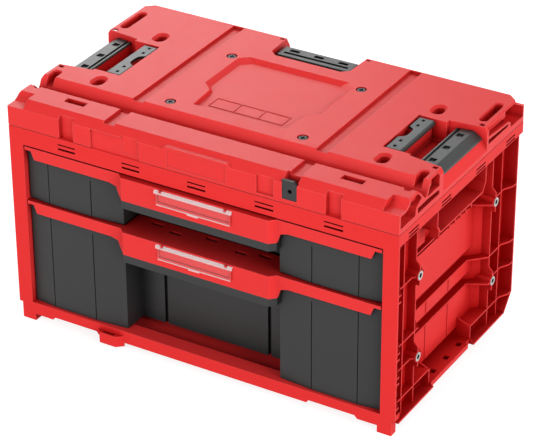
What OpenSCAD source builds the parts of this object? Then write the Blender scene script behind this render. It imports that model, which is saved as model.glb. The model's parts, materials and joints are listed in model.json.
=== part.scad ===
// Portable tool box with two drawers: a moulded cabinet with a ribbed side lattice, a stacking cover with
// catch plates, and two drawers on telescopic rails.
// Millimetres, +Z up, drawers open toward -Y, origin on the ground in the middle of the box.

/* [Box] */
// Width over the corner plates
box_w = 576; // [560:1:620]
// Depth from the front frame to the rear edge of the belt
box_d = 344.5; // [335:0.5:370]
// Height of the seam between the cabinet and the cover
seam_z = 293; // [290:1:310]
// Height of the cover over the seam
cover_h = 40; // [38:1:46]
// Wall of the red mouldings
wall = 2.5; // [2:0.1:3]
// Thickness of the ribs
rib_t = 2.2; // [1.6:0.1:3]
// Height of the underside of the floor
floor_z = 14; // [12:0.5:18]

/* [Front frame] */
// Height of the rim over the drawers
rim_h = 23.5; // [20:0.5:28]
// Top of the sill
sill_z = 28; // [26:0.5:30]
// Clearance around the drawer fronts
front_gap = 2; // [1.5:0.1:3]

/* [Side lattice] */
// Depth of the corner plates in front of the wall
lattice_d = 19; // [16:0.5:22]
// Depth of the recess in the middle of the wall
recess_d = 19; // [15:0.5:20]
// Distance of the recess from the front
recess_in = 69; // [60:1:80]
// Distance of the recess from the back
recess_back = 60; // [56:1:80]
// How far the rib edges lie behind the corner plates
rib_in = 7.5; // [5:0.5:9]
// How far the panels stand out of the recess
panel_d = 10; // [6:0.5:12]
// Height of the belt under the seam
belt_h = 16; // [14:0.5:20]
// Overhang of the belt over the back wall
belt_over = 10.5; // [8:0.5:14]
// Depth of the hand grip under the belt
grip_h = 36.5; // [32:0.5:40]

/* [Drawers] */
// Height of the lower drawer's front
lower_h = 157.6; // [150:0.2:165]
// Gap between the two fronts
between_gap = 2; // [1.5:0.1:3]
// Wall of the trays
tray_t = 2.4; // [2:0.1:3]
// Clearance behind the bins
bin_gap = 12; // [10:0.5:20]
// Half width of the finger recess
finger_x = 117; // [105:0.5:120]
// Depth of the finger recess behind the frame
finger_d = 45; // [38:0.5:50]
// Height of the red handle
handle_h = 33.3; // [30:0.1:36]
// How far the handle stands out of the frame
handle_out = 7.7; // [6:0.1:9]
// Height of the grey lip under the handle
lip_h = 11.2; // [9:0.1:14]
// Height of the red band over the pods
band_h = 16.6; // [14:0.1:20]

/* [Rails] */
// Width of a closed rail
rail_w = 10.5; // [10:0.1:13]
// Height of a rail
rail_h = 35; // [30:0.5:36]
// Sheet of the rails
rail_t = 1.2; // [1:0.1:1.5]
// Length of a rail
rail_l = 300; // [280:1:305]
// Running gap between rail members
rail_gap = 0.3; // [0.25:0.05:0.4]
// Height of the lower rails' middle over the tray's bottom
lower_rail_up = 57; // [45:0.5:70]
// Height of the upper rails' middle over the tray's bottom
upper_rail_up = 17.4; // [16:0.1:22]

/* [Cover] */
// Depth of the central recess in the deck
badge_d = 5; // [3:0.5:6]
// Depth of the notch for the side catch plates
notch_d = 27.5; // [24:0.5:29]
// Size of the label covers, width
label_w = 114; // [100:1:120]
// Size of the label covers, height
label_h = 21.7; // [20:0.1:23]

/* [Hidden] */
$fn = 40;

red = [0.86, 0.16, 0.16];
dark_grey = [0.25, 0.25, 0.26];
mid_grey = [0.4, 0.42, 0.43];
steel = [0.75, 0.76, 0.78];
clear = [0.9, 0.93, 0.95, 0.5];

// Clearance between pieces that move past each other, and overlap of a cut past a face
slide_gap = 0.3;
cut = 1;

// Side view, from the front frame (y = 0) to the back
back_y = box_d - belt_over;
side_x = box_w / 2;
wall_x = side_x - lattice_d;
recess_x = wall_x - recess_d;
panel_x = recess_x + panel_d;
rib_x = side_x - rib_in;
boss_x = side_x - 2;
open_x = wall_x - wall;
open_top = seam_z - rim_h;
deck_z = seam_z + cover_h;
back_chamfer = [22, 25];
corner_plate = 9;
skirt_in = 5;
skirt_z = 24;
low_rib_z = floor_z + 25.5;
notch_y = [107, back_y - 109];
mid_y = back_y / 2 + 8;

// Drawers, heights of the fronts
lower_z0 = sill_z + 1;
lower_z1 = lower_z0 + lower_h;
upper_z0 = lower_z1 + between_gap;
upper_z1 = open_top - front_gap - 0.2;
front_x = open_x - front_gap;
pod_y = 4;
bin_y1 = back_y - wall - bin_gap;
lower_rail_z = lower_z0 + lower_rail_up;
upper_rail_z = upper_z0 + upper_rail_up;

// Rails, measured from the wall's inner face toward the bin
rail_x = recess_x - wall;
bin_x = rail_x - rail_w;
rail_y0 = 20;
rivet_y = [62, back_y - 59.5];
rivet_head = 0.7;

// Places where the box is cut or stiffened
rib_y = [30, 62.5, back_y - 59.5, back_y - 32];
grip_y = [104, back_y - 93.5];
grip_z = seam_z - belt_h - grip_h;
clip_pitch = 98.7;
screw_x = 98.5;
screw_y = [97, 249.5];

// Cover, side profile
shoulder_z = seam_z + 28.5;
ledge_z = deck_z - 2;
end_x = side_x - 24;
notch_z = deck_z - notch_d;

// Box frame to the part's own frame
label_y = -handle_out - 1.5;
label_t = 1.3;
front_y = -(box_d - (label_t - label_y)) / 2;

function reversed(p) = [for (i = [len(p) - 1 : -1 : 0]) p[i]];
function mirrored(p) = [for (q = reversed(p)) [-q[0], q[1]]];

// Counter-clockwise outline drawn in by t along every edge
function inset(p, t) = let (n = len(p)) [for (i = [0 : n - 1])
    let (a = p[(i + n - 1) % n], b = p[i], c = p[(i + 1) % n],
         u = (b - a) / norm(b - a), v = (c - b) / norm(c - b))
    b + t / (1 + u * v) * [-u[1] - v[1], u[0] + v[0]]];

module both_sides() {
    children();
    mirror([1, 0, 0]) children();
}

module along_x(x0, x1) {
    translate([x0, 0, 0]) rotate([90, 0, 90]) linear_extrude(x1 - x0) children();
}

module along_y(y0, y1) {
    translate([0, y1, 0]) rotate([90, 0, 0]) linear_extrude(y1 - y0) children();
}

module upright(z0, z1) {
    translate([0, 0, z0]) linear_extrude(z1 - z0) children();
}

module block(x, y, z) {
    translate([x[0], y[0], z[0]]) cube([x[1] - x[0], y[1] - y[0], z[1] - z[0]]);
}

module obround(length, width) {
    square([width, length - width], center = true);
    for (end = [-1, 1]) translate([0, end * (length - width) / 2]) circle(d = width);
}

// ---------------------------------------------------------------- housing

function wall_plan(x) = [
    [x, 0], [x, recess_in], [x - recess_d, recess_in + recess_d],
    [x - recess_d, back_y - recess_back - recess_d], [x, back_y - recess_back], [x, back_y]
];

side_outline = [
    [0, floor_z], [back_y - back_chamfer[0], floor_z], [back_y, floor_z + back_chamfer[1]],
    [back_y, seam_z], [0, seam_z]
];

// Floor, chamfered back and top plate in one profile
module carcass() {
    inner = inset(side_outline, wall);
    along_x(-wall_x, wall_x) difference() {
        polygon(side_outline);
        polygon(inner);
        translate([-cut, floor_z + wall]) square([wall + 2 * cut, seam_z - floor_z - 2 * wall]);
    }
}

// Pans that stand out of the recess, solid for t = 0 and their hollow for t = wall
module panel(z0, z1, y0, y1, t) {
    upright(z0 + t, z1 - t) intersection() {
        polygon([[recess_x - 2 * t, recess_in + recess_d + t],
                 [panel_x - t, recess_in + recess_d - panel_d + t],
                 [panel_x - t, back_y - recess_back - recess_d + panel_d - t],
                 [recess_x - 2 * t, back_y - recess_back - recess_d - t]]);
        translate([0, y0 + t]) square([side_x, y1 - y0 - 2 * t]);
    }
}

module panels(t) {
    long = [0, back_y];
    panel(lower_rail_z + 53, upper_rail_z - 4, long[0], long[1], t);
    panel(lower_rail_z + 17, lower_rail_z + 35.5, long[0], long[1], t);
    panel(floor_z + 19, lower_rail_z - 1.5, long[0], long[1], t);
    panel(upper_rail_z + 9, seam_z - belt_h, long[0], 124, t);
    panel(upper_rail_z + 9, seam_z - belt_h, back_y - 124, long[1], t);
}

// Edge of a horizontal rib in plan; with rings it runs out to the rivet bosses
function rib_edge(rings) = concat(
    [[side_x, 0], [side_x, corner_plate], [rib_x, corner_plate + 11]],
    rings ? [[rib_x, rivet_y[0] - 10], [boss_x, rivet_y[0] - 6], [boss_x, rivet_y[0] + 10]]
          : [[rib_x, recess_in + 3]],
    [[panel_x, recess_in + 28], [panel_x, back_y - recess_back - 25]],
    rings ? [[boss_x, rivet_y[1] - 12], [boss_x, rivet_y[1] + 6], [rib_x, rivet_y[1] + 10]]
          : [[rib_x, back_y - recess_back - 4]],
    [[rib_x, back_y - 25], [side_x, back_y - corner_plate - 2], [side_x, back_y]]
);

module horizontal_rib(z, rings = false) {
    upright(z - rib_t / 2, z + rib_t / 2)
        polygon(concat(rib_edge(rings), reversed(wall_plan(wall_x - wall / 2))));
}

// Rib along the top of the skirt, full width from post to post
module low_rib() {
    difference() {
        upright(low_rib_z - rib_t / 2, low_rib_z + rib_t / 2)
            polygon(concat([[side_x, 0], [side_x, corner_plate], [rib_x, corner_plate + 11],
                            [rib_x, back_y - 25], [side_x, back_y - corner_plate - 2], [side_x, back_y]],
                           reversed(wall_plan(wall_x - wall / 2))));
        block([0, side_x + cut], notch_y, [0, seam_z]);
    }
}

module side_lattice() {
    // Horizontal ribs
    horizontal_rib(upper_rail_z, true);
    horizontal_rib(lower_rail_z, true);
    horizontal_rib(lower_rail_z + 36);
    low_rib();
    // Vertical ribs; those with rivets step out around them
    for (y = rib_y)
        block([wall_x - wall / 2, rib_x], [y - rib_t / 2, y + rib_t / 2], [floor_z, seam_z - cut]);
    for (y = [rib_y[1], rib_y[2]], z = [upper_rail_z, lower_rail_z])
        along_y(y - rib_t / 2, y + rib_t / 2)
            polygon([[rib_x - 1, z - 15], [boss_x, z - 15], [boss_x, z + 14], [rib_x, z + 20],
                     [rib_x - 1, z + 20]]);
    // Raised lines on the two lower panels
    for (y = [notch_y[0] + 26, notch_y[1] - 29], z = [[floor_z + 20, lower_rail_z - 2.5],
                                                     [lower_rail_z + 18, lower_rail_z + 34.5]])
        block([recess_x - cut, panel_x + 0.8], [y - 1, y + 1], z);
    // Corner plate that returns from the front frame, with a slit under each rib
    difference() {
        block([side_x - wall, side_x], [0, corner_plate], [skirt_z, seam_z]);
        for (z = [upper_rail_z, lower_rail_z + 36, lower_rail_z, low_rib_z])
            block([side_x - 2 * wall, side_x + cut], [wall, corner_plate + cut], [z - 4.8, z - 2.8]);
    }
    // Rivet bosses
    for (y = rivet_y, z = [upper_rail_z, lower_rail_z])
        translate([rail_x, y, z]) rotate([0, 90, 0]) cylinder(d = 14, h = boss_x - rail_x);
}

// Skirt under the lattice: bottom plates, end walls and the catch ledge between them
module side_skirt() {
    ledge_x = side_x - 4;
    for (y = [[corner_plate + 3, notch_y[0] + rib_t / 2], [notch_y[1] - rib_t / 2, back_y]])
        block([wall_x - 1, side_x - 1], y, [floor_z - 1, floor_z + 1.5]);
    for (y = notch_y)
        along_y(y - rib_t / 2, y + rib_t / 2)
            polygon([[recess_x - cut, floor_z - 1], [rib_x, floor_z - 1], [rib_x, low_rib_z],
                     [panel_x, low_rib_z + 8.5], [recess_x - cut, low_rib_z + 8.5]]);
    difference() {
        block([recess_x - cut, ledge_x], notch_y, [floor_z - 1, floor_z + 6]);
        for (y = [notch_y[0] + 25, (notch_y[0] + notch_y[1]) / 2 + 3, notch_y[1] - 19])
            block([ledge_x - 15, ledge_x - 7], [y - 4.5, y + 4.5], [floor_z + 0.5, floor_z + 10]);
        // The lip ends before the rear end wall
        block([ledge_x - 4, side_x], [notch_y[1] - 12, notch_y[1] - rib_t / 2], [0, floor_z + 10]);
    }
}

// Belt around the top edge, an inverted channel with clip slots
module belt() {
    lip = 2.2;
    // Side channels
    both_sides() difference() {
        block([wall_x - 1, side_x], [0, box_d], [seam_z - belt_h, seam_z]);
        block([wall_x - 2, side_x - lip], [wall, box_d - lip], [seam_z - belt_h - cut, seam_z - wall]);
        for (y = [38, 125, back_y - 113, back_y - 27]) {
            for (z = [seam_z - 8.4, seam_z - 13.3])
                block([side_x - 5, side_x + cut], [y - 13, y + 13], [z - 1.3, z + 1.3]);
        }
    }
    // Rear channel
    difference() {
        block([-wall_x, wall_x], [back_y - 1, box_d], [seam_z - 14, seam_z]);
        block([-wall_x - cut, wall_x + cut], [back_y - 2, box_d - lip], [seam_z - 15, seam_z - wall]);
    }
}

// Finger well under the belt
module hand_grip() {
    corner = [9, 12];
    outer = [[grip_y[0], seam_z], [grip_y[0], grip_z + corner[1]], [grip_y[0] + corner[0], grip_z],
             [grip_y[1] - corner[0], grip_z], [grip_y[1], grip_z + corner[1]], [grip_y[1], seam_z]];
    along_x(recess_x - wall / 2, side_x - 1) difference() {
        polygon(outer);
        polygon(inset(outer, rib_t));
        translate([grip_y[0] + rib_t, seam_z - 2 * wall])
            square([grip_y[1] - grip_y[0] - 2 * rib_t, 3 * wall]);
    }
    // Short gussets under the outer edge of the well
    pitch = (grip_y[1] - grip_y[0] - 76.5) / 4;
    for (y = [grip_y[0] + 5, for (i = [0 : 4]) grip_y[0] + 35 + pitch * i])
        block([side_x - 14, side_x - 1], [y - 0.9, y + 0.9],
              [grip_z - 6, y < grip_y[0] + corner[0] ? grip_z + 6.5 : grip_z + 1]);
}

// Underside edge of the front frame
frame_foot_x = [open_x - 4, side_x - skirt_in];
sill_foot_x = frame_foot_x[0] - 28.5;
step_x = finger_x + 43;
front_outline = [
    [-side_x, seam_z], [-side_x, skirt_z], [-frame_foot_x[1], skirt_z],
    [-frame_foot_x[1], 10], [-frame_foot_x[0], 10], [-sill_foot_x, 9.7], [-sill_foot_x + 4, floor_z],
    [-step_x - 3, floor_z], [-step_x, 9.7], [step_x, 9.7], [step_x + 3, floor_z],
    [sill_foot_x - 4, floor_z], [sill_foot_x, 9.7],
    [frame_foot_x[0], 10], [frame_foot_x[1], 10], [frame_foot_x[1], skirt_z], [side_x, skirt_z],
    [side_x, seam_z]
];

module front_frame() {
    difference() {
        along_y(0, wall) polygon(front_outline);
        block([-open_x, open_x], [-cut, 2 * wall], [sill_z, open_top]);
        // Clip slots in the rim
        for (i = [-2 : 2], z = [[seam_z - 9.6, seam_z - 7.6], [seam_z - 16.5, seam_z - 13.6]])
            block([i * clip_pitch - 13.5, i * clip_pitch + 13.5], [-cut, 2 * wall], z);
    }
    // Underside of the rim and top of the sill
    block([-open_x - cut, open_x + cut], [0, 22], [open_top, open_top + wall]);
    block([-open_x - cut, open_x + cut], [22 - wall, 22], [open_top, seam_z - cut]);
    block([-open_x - cut, open_x + cut], [0, 22], [sill_z - wall, sill_z]);
    block([-open_x - cut, open_x + cut], [22 - wall, 22], [floor_z, sill_z]);
}

module feet() {
    both_sides() {
        // Front feet under the corner posts
        block([frame_foot_x[0], frame_foot_x[1]], [0, 12], [0, skirt_z]);
        block([wall_x - 1, frame_foot_x[1]], [0, wall + 20], [floor_z - 1, skirt_z]);
        // Rear feet
        along_y(back_y - 38, back_y - 22)
            polygon([[wall_x - 29, floor_z + 1], [wall_x - 27, 0], [wall_x - 3, 0],
                     [wall_x - 1, floor_z + 1]]);
    }
    // Forward block of the sill
    difference() {
        translate([-step_x, 0, 0]) {
            upright(4.5, sill_z - 7.6) polygon([[1, 1], [1, 0], [7, -8], [32, -8], [41, 0], [41, 1]]);
        }
        block([10 - step_x, 28 - step_x], [-5.5, -1], [9, sill_z + 2]);
    }
}

module back_wall() {
    // Rear flange, its chamfered foot and ribs
    both_sides() along_x(wall_x - cut, side_x) intersection() {
        difference() {
            polygon(side_outline);
            polygon(inset(side_outline, wall));
        }
        translate([back_y - back_chamfer[0], 0]) square([back_chamfer[0] + cut, floor_z + back_chamfer[1]]);
    }
    difference() {
        block([-side_x, side_x], [back_y - wall, back_y], [floor_z + 25, seam_z]);
        block([-wall_x + 1, wall_x - 1], [back_y - wall - cut, back_y + cut], [0, seam_z + cut]);
    }
    for (i = [-2 : 2])
        block([i * clip_pitch - 1.1, i * clip_pitch + 1.1], [back_y - 1, back_y + 4],
              [floor_z + 26, seam_z - wall + 1]);
    block([-2 * clip_pitch, 2 * clip_pitch], [back_y - 1, back_y + 4], [seam_z / 2, seam_z / 2 + rib_t]);
}

module housing() {
    color(red) difference() {
        union() {
            carcass();
            both_sides() {
                difference() {
                    union() {
                        upright(floor_z, seam_z)
                            polygon(concat(wall_plan(wall_x), reversed(wall_plan(wall_x - wall))));
                        panels(0);
                        side_lattice();
                        side_skirt();
                    }
                    panels(wall);
                }
                hand_grip();
            }
            belt();
            front_frame();
            back_wall();
            feet();
            for (x = [-screw_x, screw_x], y = screw_y)
                translate([x, y, seam_z - 1]) cylinder(d = 12, h = deck_z - 7 - seam_z + 1);
        }
        // Chamfer along the lower back edge
        along_x(-side_x - cut, side_x + cut)
            polygon([[back_y - back_chamfer[0] - 30, floor_z - 30 * 25 / 22 - 0.1],
                     [back_y + 30, floor_z + 25 + 30 * 25 / 22 - 0.1], [back_y + 60, -40]]);
        // Rivet bores
        both_sides() for (y = rivet_y, z = [upper_rail_z, lower_rail_z])
            translate([rail_x - cut, y, z]) rotate([0, 90, 0]) cylinder(d = 9, h = boss_x - rail_x + 2 * cut);
        // Pilot bores of the cover screws
        for (x = [-screw_x, screw_x], y = screw_y)
            translate([x, y, seam_z + 4]) cylinder(d = 3.6, h = cover_h);
    }
}

// ---------------------------------------------------------------- rails and rivets

// One folded channel: web at x0, flanges toward x1, measured from the wall
module channel(x0, x1, half, y0, y1) {
    web = x1 > x0 ? rail_t : -rail_t;
    along_y(y0, y1) translate([rail_x, 0]) scale([-1, 1]) difference() {
        translate([min(x0, x1), -half]) square([abs(x1 - x0), 2 * half]);
        translate([x1 > x0 ? x0 + rail_t : x1 - cut, -half + rail_t])
            square([abs(x1 - x0) - rail_t + cut, 2 * (half - rail_t)]);
    }
}

function outer_half() = rail_h / 2;
function middle_half() = outer_half() - rail_t - rail_gap;
function inner_half() = middle_half() - rail_t - rail_gap;
middle_web = rail_t + rivet_head + rail_gap;

module outer_rail(z) {
    color(steel) translate([0, 0, z]) difference() {
        channel(0, rail_w - 0.9, outer_half(), rail_y0, rail_y0 + rail_l);
        for (y = rivet_y)
            translate([rail_x - 2 * rail_t, y, 0]) rotate([0, 90, 0]) cylinder(d = 9, h = 3 * rail_t);
    }
}

module middle_rail(z) {
    color(steel) translate([0, 0, z])
        channel(middle_web, rail_w - 0.6, middle_half(), rail_y0, rail_y0 + rail_l - 4);
}

module inner_rail(z) {
    color(steel) translate([0, 0, z]) difference() {
        channel(rail_w, middle_web + rail_t + 0.5, inner_half(), rail_y0, rail_y0 + rail_l - 8);
        for (y = rail_screw_y)
            translate([bin_x - cut, y, 0]) rotate([0, 90, 0]) cylinder(d = 3.6, h = rail_t + 2 * cut);
    }
}

// Hollow rivets through the bosses; their rings show between the ribs
module rail_rivets() {
    color(steel) for (y = rivet_y, z = [upper_rail_z, lower_rail_z])
        translate([0, y, z]) rotate([0, 90, 0]) difference() {
            union() {
                translate([0, 0, rail_x - rail_t - rivet_head]) cylinder(d = 12, h = rivet_head);
                translate([0, 0, rail_x - rail_t - rivet_head])
                    cylinder(d = 8.8, h = boss_x - rail_x + rail_t + rivet_head);
                translate([0, 0, boss_x]) cylinder(d = 12.4, h = 0.9);
            }
            translate([0, 0, rail_x - 10]) cylinder(d = 6.6, h = lattice_d + recess_d + 20);
        }
}

// ---------------------------------------------------------------- drawers

rail_screw_y = [70, 170, 270];
front_screw_x = [front_x - 86.5, front_x - 42.5];
groove_x = 79.5;
pod_x = [finger_x + 48, front_x - 32.5];

// Plan of the handle's front, t behind its face
function handle_plan(t) = [
    [-finger_x - 1, 1], [-finger_x, t], [-finger_x + handle_out + 0.1 * t, -handle_out + t],
    [finger_x - handle_out - 0.1 * t, -handle_out + t], [finger_x, t], [finger_x + 1, 1]
];

// Plan of a tray: wide pods in front, the bin between the rails, the finger recess in the middle
tray_plan = [
    [finger_x, pod_y + 3.5], [pod_x[0], pod_y], [pod_x[1], pod_y], [front_x, pod_y + 3.5], [front_x, 15],
    [bin_x, 15],
    [bin_x, bin_y1], [-bin_x, bin_y1], [-bin_x, 15], [-front_x, 15], [-front_x, pod_y + 3.5],
    [-pod_x[1], pod_y], [-pod_x[0], pod_y], [-finger_x, pod_y + 3.5], [-finger_x, finger_d],
    [finger_x, finger_d]
];

// Grey tray from z0 to z1; lip_z is the lower edge of the red handle
module tray(z0, z1, rail_z) {
    top = z1 - wall;
    lip_z = z1 - handle_h;
    color(dark_grey) difference() {
        union() {
            difference() {
                upright(z0, top) polygon(tray_plan);
                upright(z0 + tray_t, top + cut) polygon(inset(tray_plan, tray_t));
            }
            // Lip under the handle and the core behind it
            upright(lip_z - lip_h, lip_z) polygon(concat(
                [[-finger_x + handle_out, -handle_out], [finger_x - handle_out, -handle_out]],
                [[finger_x, 0], [finger_x - 3, 0], [finger_x - handle_out - 2, -handle_out + 2 * wall],
                 [-finger_x + handle_out + 2, -handle_out + 2 * wall], [-finger_x + 3, 0], [-finger_x, 0]]));
            block([-finger_x + 9, finger_x - 9], [-handle_out + wall, -handle_out + 2 * wall],
                  [lip_z - 1, top]);
            // Roof of the finger recess
            block([-finger_x + 9, finger_x - 9], [-handle_out + wall, finger_d], [top - tray_t, top]);
            both_sides() {
                block([finger_x - 9, finger_x], [wall, finger_d], [top - tray_t, top]);
                block([finger_x - tray_t, finger_x], [wall, pod_y + 4], [lip_z, top]);
                block([finger_x - tray_t, finger_x], [0, pod_y + 4], [lip_z - lip_h, lip_z]);
                // Backs of the grooves in the finger recess
                block([groove_x - 5, groove_x + 5], [finger_d, finger_d + tray_t + 4], [z0, top]);
            }
        }
        both_sides() {
            block([groove_x - 2.4, groove_x + 2.4], [finger_d - cut, finger_d + 4.5], [z0 - cut, lip_z - 4]);
            // Crease in the pod's face
            block([pod_x[0] - 0.8, pod_x[0] + 0.8], [pod_y - cut, pod_y + 1.2], [z0 - cut, z1 - band_h - 9]);
            for (x = front_screw_x)
                translate([x, pod_y - cut, z1 - 9]) rotate([-90, 0, 0])
                    cylinder(d = 3.6, h = tray_t + 2 * cut);
            for (y = rail_screw_y)
                translate([bin_x - tray_t - cut, y, rail_z]) rotate([0, 90, 0])
                    cylinder(d = 3.6, h = tray_t + 2 * cut);
        }
    }
}

// Front view of the red bezel, right half, measured down from its top
bezel_edge = [
    [0, -handle_h], [finger_x, -handle_h], [finger_x + 1, -handle_h + 2.3], [finger_x + 5, -band_h - 3],
    [finger_x + 16, -band_h], [front_x - 14.5, -band_h], [front_x - 9.5, -4.5], [front_x, -4.5], [front_x, 0],
    [0, 0]
];
bezel_plan = [
    [-front_x, 0], [-finger_x, 0], [-finger_x + handle_out, -handle_out],
    [finger_x - handle_out, -handle_out], [finger_x, 0], [front_x, 0], [front_x, wall], [finger_x - 1, wall],
    [finger_x - handle_out - 1, -handle_out + wall], [-finger_x + handle_out + 1, -handle_out + wall],
    [-finger_x + 1, wall], [-front_x, wall]
];

label_up = 1.3;
hinge_r = 1.2;
ear_x = [46, 50];

module bezel(z1) {
    color(red) difference() {
        union() {
            intersection() {
                upright(z1 - handle_h - cut, z1) polygon(bezel_plan);
                translate([0, 0, z1]) along_y(-handle_out - cut, 2 * wall) union() {
                    polygon(bezel_edge);
                    polygon(mirrored(bezel_edge));
                }
            }
            // Top of the band and shelf over the finger recess
            block([-front_x, front_x], [0, pod_y + 5], [z1 - wall, z1]);
            block([-finger_x, finger_x], [0, finger_d - 2], [z1 - wall, z1]);
            upright(z1 - wall, z1) polygon([[-finger_x, 1], [-finger_x, 0],
                [-finger_x + handle_out, -handle_out], [finger_x - handle_out, -handle_out],
                [finger_x, 0], [finger_x, 1]]);
            // Screw bosses behind the band
            both_sides() for (x = front_screw_x)
                translate([x, 1, z1 - 9]) rotate([-90, 0, 0]) cylinder(d = 7, h = pod_y - 1);
            // Raised frame behind the label cover, and the hinge ears
            difference() {
                block([-label_w / 2 + 1.5, label_w / 2 - 1.5], [-handle_out - 1.2, -handle_out + 1],
                      [z1 - label_up - label_h + 1.5, z1 - label_up - 4.5]);
                block([-label_w / 2 + 3.5, label_w / 2 - 3.5], [-handle_out - 2, -handle_out],
                      [z1 - label_up - label_h + 3.5, z1 - label_up - 6.5]);
            }
            both_sides() block(ear_x, [label_y - hinge_r, -handle_out + 1],
                               [z1 - label_up - 2 * hinge_r, z1 - label_up]);
        }
        // Drain slots in the shelf
        both_sides() {
            block([43, 56], [22.5, 27.5], [z1 - 2 * wall, z1 + cut]);
            block([75, 88], [30, 35], [z1 - 2 * wall, z1 + cut]);
            for (x = front_screw_x)
                translate([x, 1, z1 - 9]) rotate([-90, 0, 0]) cylinder(d = 2.6, h = pod_y);
            translate([ear_x[0] - cut, label_y, z1 - label_up - hinge_r]) rotate([0, 90, 0])
                cylinder(d = 1.9, h = ear_x[1] - ear_x[0] + 2 * cut, $fn = 24);
        }
    }
}

// Clear cover over the label, hung on two short pins in its thicker top bar
module label_cover(z1) {
    z = z1 - label_up - hinge_r;
    notch_r = hinge_r * sqrt(2) + slide_gap;
    color(clear) union() {
        difference() {
            union() {
                block([-label_w / 2 + 2.5, label_w / 2 - 2.5], [label_y - label_t, label_y],
                      [z - label_h + hinge_r, z]);
                block([-label_w / 2, label_w / 2], [label_y - label_t - 0.9, label_y], [z - 3.8, z]);
                translate([-label_w / 2, label_y, z]) rotate([0, 90, 0])
                    cylinder(r = hinge_r, h = label_w, $fn = 24);
            }
            both_sides() block([ear_x[0] - slide_gap, ear_x[1] + slide_gap], [label_y - 3, label_y + 3],
                               [z - notch_r, z + 3]);
        }
        both_sides() translate([ear_x[0] - 1, label_y, z]) rotate([0, 90, 0])
            cylinder(d = 1.4, h = ear_x[1] - ear_x[0] + 2, $fn = 24);
        // Finger tab
        block([-8, 8], [label_y - label_t - 0.6, label_y],
              [z - label_h + hinge_r - 1.5, z - label_h + hinge_r + 1]);
    }
}

module front_screws(z1) {
    color(steel) both_sides() for (x = front_screw_x)
        translate([x, 0, z1 - 9]) rotate([-90, 0, 0]) {
            translate([0, 0, 1.2]) cylinder(d = 2.4, h = pod_y + tray_t);
            translate([0, 0, pod_y + tray_t]) cylinder(d = 6.5, h = 1.8);
        }
}

module rail_screws(z) {
    color(steel) both_sides() for (y = rail_screw_y)
        translate([0, y, z]) rotate([0, 90, 0]) {
            translate([0, 0, bin_x - tray_t - 1.6]) cylinder(d = 7, h = 1.6);
            translate([0, 0, bin_x - tray_t - 0.5]) cylinder(d = 3.4, h = tray_t + rail_t + 1.5);
        }
}

// ---------------------------------------------------------------- cover

// Side profile of the cover with its ledge, V channel and deck
v_y = 67;
cover_profile = [
    [0, seam_z], [box_d - 0.5, seam_z], [box_d - 0.9, seam_z + 7], [box_d - 3, shoulder_z - 2.5],
    [box_d - 12, deck_z], [80, deck_z], [71, deck_z - 16], [v_y, deck_z - 20], [61, deck_z - 14.4],
    [49.5, ledge_z], [13, ledge_z], [0, shoulder_z]
];
// The corners keep a low platform in front of the ledge, and slope down behind the deck
corner_profile = [
    [0, seam_z], [box_d - 0.5, seam_z], [box_d - 1, deck_z - 15], [box_d - 27, deck_z - 0.5],
    [box_d - 30, deck_z], [80, deck_z], [71, deck_z - 16], [v_y, deck_z - 20], [61, deck_z - 14.4],
    [49.5, ledge_z], [29, ledge_z], [24, shoulder_z + 4], [16, shoulder_z], [0, shoulder_z]
];

// Raised badge panel on the front face, bare
module badge_outline(half, top, r) {
    translate([-half, seam_z]) square([2 * half, top - r - seam_z]);
    translate([-half + r, seam_z]) square([2 * (half - r), top - seam_z]);
    for (side = [-1, 1]) translate([side * (half - r), top - r]) circle(r);
}

// Outer form of the cover
module cover_envelope() {
    intersection() {
        union() {
            along_x(-end_x, end_x) polygon(cover_profile);
            both_sides() {
                along_x(end_x - 2, side_x) polygon(corner_profile);
                // Deck over the rear corner, cut back at an angle
                intersection() {
                    along_x(end_x - 2, side_x) polygon(concat([[box_d - 60, seam_z]],
                        [for (i = [1 : 4]) cover_profile[i]], [[box_d - 60, deck_z]]));
                    upright(0, deck_z + cut) polygon([[end_x - 3, box_d - 70], [side_x, box_d - 70],
                        [side_x, box_d - 25], [side_x - 15, box_d - 12], [side_x - 15, box_d],
                        [end_x - 3, box_d]]);
                }
            }
            along_y(0, 9) badge_outline(badge_x, seam_z + 33, 5);
        }
        along_y(-cut, box_d + cut) polygon([[-side_x, 0], [side_x, 0], [side_x, deck_z - 6],
            [side_x - 3.5, deck_z], [-side_x + 3.5, deck_z], [-side_x, deck_z - 6]]);
    }
}

// Wells for the catch plates, drawn out by t
inner_x = [side_x - 90.5, side_x - 67];
outer_x = [side_x - 41, side_x - 18, side_x - 7];
well_x = [inner_x[0] - 1, side_x - 52, side_x - 43];
side_notch = [[well_x[0], mid_y - 49], [well_x[1], mid_y - 49], [well_x[1], mid_y - 53],
              [side_x + 1, mid_y - 61], [side_x + 1, mid_y + 60.5], [well_x[1], mid_y + 55],
              [well_x[1], mid_y + 49], [well_x[0], mid_y + 49]];
rear_notch = [[-50, back_y - 53.5], [50, back_y - 53.5], [60, back_y - 45], [62.5, box_d + 1],
              [-62.5, box_d + 1], [-60, back_y - 45]];

module side_well(t) {
    intersection() {
        upright(seam_z, deck_z + (t > 0 ? 0 : cut)) polygon(inset(side_notch, -t));
        along_y(0, box_d) polygon([[well_x[0] - 16, notch_z - t], [well_x[2], notch_z - t],
                                   [side_x + t, seam_z + 4 - t],
                                   [side_x + 20, seam_z + 4 - t], [side_x + 20, deck_z + cut],
                                   [well_x[0] - 16, deck_z + cut]]);
    }
}

module rear_well(t) {
    upright(notch_z + 2 - t, deck_z + (t > 0 ? 0 : cut)) polygon(inset(rear_notch, -t));
}

// Red blocks in the wells that carry the catch plates
inner_top = deck_z - 1.5;
outer_top = deck_z - 7.7;
rear_top = deck_z - 5;
rear_y = [back_y - 43, back_y - 14, back_y - 3];
inner_t = 4;
plate_t = 3.3;

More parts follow.
